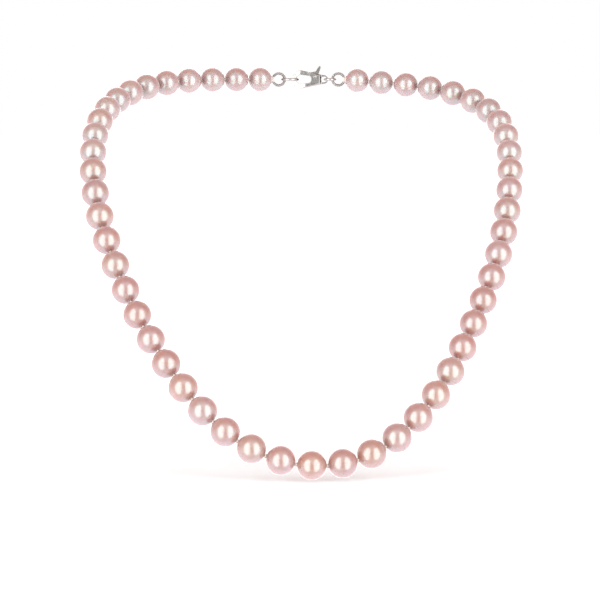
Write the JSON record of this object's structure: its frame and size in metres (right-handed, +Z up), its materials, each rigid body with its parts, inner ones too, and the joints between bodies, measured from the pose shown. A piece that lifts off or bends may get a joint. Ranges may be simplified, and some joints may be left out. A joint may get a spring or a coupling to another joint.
{
  "type": "pearl necklace",
  "caption": "Single-strand pearl necklace: drilled pearls knotted on silk, draped as it is worn, with a lobster clasp and catch ring at the nape.",
  "frame": {"origin": "on the neck's centre line, level with the clasp at the nape where the strand hangs from", "axes": "+Z up, -Y towards the wearer's chest (the front of the strand), +X towards the claw's side of the clasp, which is the viewer's right from the front"},
  "size_m": [0.1288, 0.1282, 0.1112],
  "materials": {
    "nacre": "gloss",
    "silk": "satin",
    "silver": "polished",
    "silver_wire": "satin"
  },
  "bodies": {
    "shoulders": {"pearl_10": "nacre", "pearl_11": "nacre", "pearl_12": "nacre", "pearl_41": "nacre", "pearl_42": "nacre", "pearl_43": "nacre", "silk_thread": "silk"},
    "band_01": {"pearl_13": "nacre", "pearl_40": "nacre"},
    "band_02": {"pearl_14": "nacre", "pearl_39": "nacre"},
    "band_03": {"pearl_15": "nacre", "pearl_38": "nacre"},
    "band_04": {"pearl_16": "nacre", "pearl_37": "nacre"},
    "band_05": {"pearl_17": "nacre", "pearl_36": "nacre"},
    "band_06": {"pearl_18": "nacre", "pearl_35": "nacre"},
    "band_07": {"pearl_19": "nacre", "pearl_34": "nacre"},
    "band_08": {"pearl_20": "nacre", "pearl_33": "nacre"},
    "band_09": {"pearl_21": "nacre", "pearl_32": "nacre"},
    "band_10": {"pearl_22": "nacre", "pearl_31": "nacre"},
    "band_11": {"pearl_23": "nacre", "pearl_30": "nacre"},
    "band_12": {"pearl_24": "nacre", "pearl_29": "nacre"},
    "band_13": {"pearl_25": "nacre", "pearl_28": "nacre"},
    "band_14": {"pearl_26": "nacre", "pearl_27": "nacre"},
    "catch_tail_1": {"pearl_09": "nacre"},
    "catch_tail_2": {"pearl_08": "nacre"},
    "catch_tail_3": {"pearl_07": "nacre"},
    "catch_tail_4": {"pearl_06": "nacre"},
    "catch_tail_5": {"pearl_05": "nacre"},
    "catch_tail_6": {"pearl_04": "nacre"},
    "catch_tail_7": {"pearl_03": "nacre"},
    "catch_tail_8": {"pearl_02": "nacre"},
    "catch_tail_9": {"pearl_01": "nacre", "gimp_left": "silver_wire"},
    "catch_ring": {"catch_ring": "silver"},
    "clasp_tail_1": {"pearl_44": "nacre"},
    "clasp_tail_2": {"pearl_45": "nacre"},
    "clasp_tail_3": {"pearl_46": "nacre"},
    "clasp_tail_4": {"pearl_47": "nacre"},
    "clasp_tail_5": {"pearl_48": "nacre"},
    "clasp_tail_6": {"pearl_49": "nacre"},
    "clasp_tail_7": {"pearl_50": "nacre"},
    "clasp_tail_8": {"pearl_51": "nacre"},
    "clasp_tail_9": {"pearl_52": "nacre", "gimp_right": "silver_wire"},
    "link_ring": {"link_ring": "silver"},
    "clasp": {"claw_body": "silver", "claw_pin": "silver"},
    "trigger": {"claw_trigger": "silver"}
  },
  "joints": [
    {"name": "lift_01", "type": "hinge", "parent": "shoulders", "child": "band_01", "pos_m": [-0.06192, -0.01852, -0.02386], "axis": [-0.9944, -0.0469, 0.0946], "range_deg": [0, 12], "deforming": ["silk_thread"]},
    {"name": "lift_02", "type": "hinge", "parent": "band_01", "child": "band_02", "pos_m": [-0.0611, -0.02469, -0.02955], "axis": [-0.9942, -0.0483, 0.0965], "range_deg": [0, 12]},
    {"name": "lift_03", "type": "hinge", "parent": "band_02", "child": "band_03", "pos_m": [-0.0597, -0.03039, -0.03569], "axis": [-0.9941, -0.0482, 0.0972], "range_deg": [0, 12]},
    {"name": "lift_04", "type": "hinge", "parent": "band_03", "child": "band_04", "pos_m": [-0.05767, -0.03565, -0.04206], "axis": [-0.9941, -0.0472, 0.0979], "range_deg": [0, 12]},
    {"name": "lift_05", "type": "hinge", "parent": "band_04", "child": "band_05", "pos_m": [-0.05511, -0.04041, -0.04857], "axis": [-0.9941, -0.0448, 0.0983], "range_deg": [0, 12]},
    {"name": "lift_06", "type": "hinge", "parent": "band_05", "child": "band_06", "pos_m": [-0.0522, -0.04473, -0.05517], "axis": [-0.9943, -0.0408, 0.0988], "range_deg": [0, 12]},
    {"name": "lift_07", "type": "hinge", "parent": "band_06", "child": "band_07", "pos_m": [-0.04894, -0.0488, -0.0617], "axis": [-0.9942, -0.0364, 0.1011], "range_deg": [0, 12]},
    {"name": "lift_08", "type": "hinge", "parent": "band_07", "child": "band_08", "pos_m": [-0.04525, -0.05275, -0.0681], "axis": [-0.9938, -0.0316, 0.1062], "range_deg": [0, 12]},
    {"name": "lift_09", "type": "hinge", "parent": "band_08", "child": "band_09", "pos_m": [-0.04111, -0.05662, -0.07434], "axis": [-0.9931, -0.0264, 0.1145], "range_deg": [0, 12]},
    {"name": "lift_10", "type": "hinge", "parent": "band_09", "child": "band_10", "pos_m": [-0.03657, -0.06035, -0.08049], "axis": [-0.9921, -0.0208, 0.1237], "range_deg": [0, 12]},
    {"name": "lift_11", "type": "hinge", "parent": "band_10", "child": "band_11", "pos_m": [-0.03156, -0.06389, -0.08649], "axis": [-0.9907, -0.0172, 0.135], "range_deg": [0, 12]},
    {"name": "lift_12", "type": "hinge", "parent": "band_11", "child": "band_12", "pos_m": [-0.02589, -0.06705, -0.0921], "axis": [-0.9889, -0.0158, 0.148], "range_deg": [0, 12]},
    {"name": "lift_13", "type": "hinge", "parent": "band_12", "child": "band_13", "pos_m": [-0.01929, -0.06951, -0.09692], "axis": [-0.987, -0.0132, 0.16], "range_deg": [0, 12]},
    {"name": "lift_14", "type": "hinge", "parent": "band_13", "child": "band_14", "pos_m": [-0.01184, -0.07103, -0.10062], "axis": [-0.9863, -0.011, 0.1643], "range_deg": [0, 12]},
    {"name": "catch_tail_bend_1", "type": "hinge", "parent": "shoulders", "child": "catch_tail_1", "pos_m": [-0.06064, 0.0024, -0.01079], "axis": [0, -0.2588, 0.9659], "range_deg": [0, 12]},
    {"name": "catch_tail_bend_2", "type": "hinge", "parent": "catch_tail_1", "child": "catch_tail_2", "pos_m": [-0.05866, 0.00979, -0.00771], "axis": [0, -0.2588, 0.9659], "range_deg": [0, 12]},
    {"name": "catch_tail_bend_3", "type": "hinge", "parent": "catch_tail_2", "child": "catch_tail_3", "pos_m": [-0.05587, 0.01723, -0.0053], "axis": [0, -0.2588, 0.9659], "range_deg": [0, 12]},
    {"name": "catch_tail_bend_4", "type": "hinge", "parent": "catch_tail_3", "child": "catch_tail_4", "pos_m": [-0.05196, 0.02431, -0.00327], "axis": [0, -0.2588, 0.9659], "range_deg": [0, 12]},
    {"name": "catch_tail_bend_5", "type": "hinge", "parent": "catch_tail_4", "child": "catch_tail_5", "pos_m": [-0.04677, 0.03064, -0.00173], "axis": [0, -0.2588, 0.9659], "range_deg": [0, 12]},
    {"name": "catch_tail_bend_6", "type": "hinge", "parent": "catch_tail_5", "child": "catch_tail_6", "pos_m": [-0.04051, 0.03595, -0.00079], "axis": [0, -0.2588, 0.9659], "range_deg": [0, 12]},
    {"name": "catch_tail_bend_7", "type": "hinge", "parent": "catch_tail_6", "child": "catch_tail_7", "pos_m": [-0.03358, 0.04026, -0.00026], "axis": [0, -0.2588, 0.9659], "range_deg": [0, 12]},
    {"name": "catch_tail_bend_8", "type": "hinge", "parent": "catch_tail_7", "child": "catch_tail_8", "pos_m": [-0.02627, 0.04369, -0.0001], "axis": [0, -0.2588, 0.9659], "range_deg": [0, 12]},
    {"name": "catch_tail_bend_9", "type": "hinge", "parent": "catch_tail_8", "child": "catch_tail_9", "pos_m": [-0.01887, 0.04681, -0.00007], "axis": [0, -0.2588, 0.9659], "range_deg": [0, 12]},
    {"name": "catch_ring_swing", "type": "hinge", "parent": "catch_tail_9", "child": "catch_ring", "pos_m": [-0.00845, 0.05, 0], "axis": [0, -0.2588, 0.9659], "range_deg": [0, 12]},
    {"name": "clasp_tail_bend_1", "type": "hinge", "parent": "shoulders", "child": "clasp_tail_1", "pos_m": [0.05899, 0.0062, -0.01936], "axis": [0, 0.2588, -0.9659], "range_deg": [0, 12]},
    {"name": "clasp_tail_bend_2", "type": "hinge", "parent": "clasp_tail_1", "child": "clasp_tail_2", "pos_m": [0.05819, 0.01312, -0.01498], "axis": [0, 0.2588, -0.9659], "range_deg": [0, 12]},
    {"name": "clasp_tail_bend_3", "type": "hinge", "parent": "clasp_tail_2", "child": "clasp_tail_3", "pos_m": [0.05627, 0.02025, -0.01131], "axis": [0, 0.2588, -0.9659], "range_deg": [0, 12]},
    {"name": "clasp_tail_bend_4", "type": "hinge", "parent": "clasp_tail_3", "child": "clasp_tail_4", "pos_m": [0.05274, 0.02701, -0.00801], "axis": [0, 0.2588, -0.9659], "range_deg": [0, 12]},
    {"name": "clasp_tail_bend_5", "type": "hinge", "parent": "clasp_tail_4", "child": "clasp_tail_5", "pos_m": [0.04765, 0.03301, -0.00532], "axis": [0, 0.2588, -0.9659], "range_deg": [0, 12]},
    {"name": "clasp_tail_bend_6", "type": "hinge", "parent": "clasp_tail_5", "child": "clasp_tail_6", "pos_m": [0.04126, 0.03792, -0.00339], "axis": [0, 0.2588, -0.9659], "range_deg": [0, 12]},
    {"name": "clasp_tail_bend_7", "type": "hinge", "parent": "clasp_tail_6", "child": "clasp_tail_7", "pos_m": [0.03408, 0.04169, -0.00212], "axis": [0, 0.2588, -0.9659], "range_deg": [0, 12]},
    {"name": "clasp_tail_bend_8", "type": "hinge", "parent": "clasp_tail_7", "child": "clasp_tail_8", "pos_m": [0.02655, 0.04461, -0.00133], "axis": [0, 0.2588, -0.9659], "range_deg": [0, 12]},
    {"name": "clasp_tail_bend_9", "type": "hinge", "parent": "clasp_tail_8", "child": "clasp_tail_9", "pos_m": [0.01899, 0.04726, -0.00069], "axis": [0, 0.2588, -0.9659], "range_deg": [0, 12]},
    {"name": "link_ring_swing", "type": "hinge", "parent": "clasp_tail_9", "child": "link_ring", "pos_m": [0.00845, 0.05, 0], "axis": [0, 0.2588, -0.9659], "range_deg": [0, 12]},
    {"name": "clasp_swing", "type": "hinge", "parent": "link_ring", "child": "clasp", "pos_m": [0.00505, 0.05, 0], "axis": [0, 0.2588, -0.9659], "range_deg": [0, 12]},
    {"name": "trigger_pull", "type": "hinge", "parent": "clasp", "child": "trigger", "pos_m": [0.00195, 0.05, 0.0009], "axis": [0, -1, 0], "range_deg": [0, 25], "stiffness_Nm_per_rad": 0.002, "springref_deg": -17.19}
  ],
  "couplings": [
    {"joint": "catch_tail_bend_2", "follows": "catch_tail_bend_1", "ratio": 1},
    {"joint": "catch_tail_bend_3", "follows": "catch_tail_bend_1", "ratio": 1},
    {"joint": "catch_tail_bend_4", "follows": "catch_tail_bend_1", "ratio": 1},
    {"joint": "catch_tail_bend_5", "follows": "catch_tail_bend_1", "ratio": 1},
    {"joint": "catch_tail_bend_6", "follows": "catch_tail_bend_1", "ratio": 1},
    {"joint": "catch_tail_bend_7", "follows": "catch_tail_bend_1", "ratio": 1},
    {"joint": "catch_tail_bend_8", "follows": "catch_tail_bend_1", "ratio": 1},
    {"joint": "catch_tail_bend_9", "follows": "catch_tail_bend_1", "ratio": 1},
    {"joint": "catch_ring_swing", "follows": "catch_tail_bend_1", "ratio": 1},
    {"joint": "clasp_tail_bend_2", "follows": "clasp_tail_bend_1", "ratio": 1},
    {"joint": "clasp_tail_bend_3", "follows": "clasp_tail_bend_1", "ratio": 1},
    {"joint": "clasp_tail_bend_4", "follows": "clasp_tail_bend_1", "ratio": 1},
    {"joint": "clasp_tail_bend_5", "follows": "clasp_tail_bend_1", "ratio": 1},
    {"joint": "clasp_tail_bend_6", "follows": "clasp_tail_bend_1", "ratio": 1},
    {"joint": "clasp_tail_bend_7", "follows": "clasp_tail_bend_1", "ratio": 1},
    {"joint": "clasp_tail_bend_8", "follows": "clasp_tail_bend_1", "ratio": 1},
    {"joint": "clasp_tail_bend_9", "follows": "clasp_tail_bend_1", "ratio": 1},
    {"joint": "link_ring_swing", "follows": "clasp_tail_bend_1", "ratio": 1},
    {"joint": "clasp_swing", "follows": "clasp_tail_bend_1", "ratio": 1}
  ]
}
